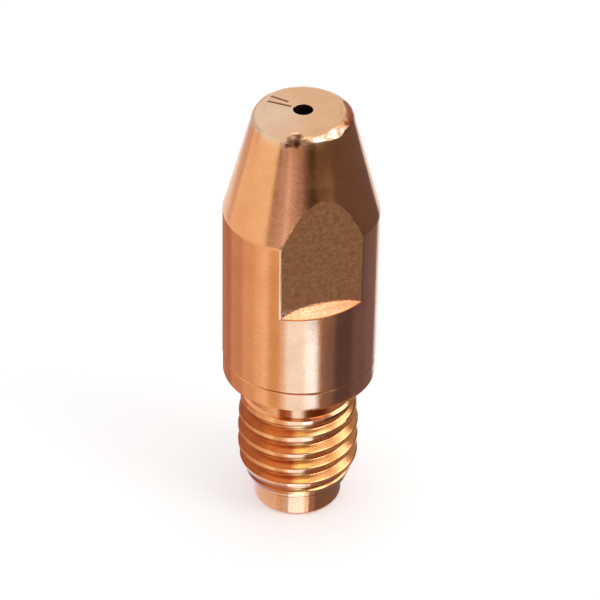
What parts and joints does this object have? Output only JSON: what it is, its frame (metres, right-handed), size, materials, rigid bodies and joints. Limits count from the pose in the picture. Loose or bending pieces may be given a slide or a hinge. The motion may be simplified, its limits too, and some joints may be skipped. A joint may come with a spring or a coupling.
{
  "type": "welding contact tip",
  "caption": "Turned copper contact tip with a threaded shank, spanner flats, a coned nose and a fine wire bore; it passes current to the wire of a welding torch.",
  "frame": {"origin": "centre of the rear end face, on the axis of the wire bore", "axes": "+Z along the wire bore towards the nose, +Y out of one spanner flat and -Y out of the other"},
  "size_m": [0.01, 0.01, 0.03],
  "materials": {
    "copper": "turned and lightly polished copper"
  },
  "bodies": {
    "root": {"contact_tip": "copper"}
  },
  "joints": []
}
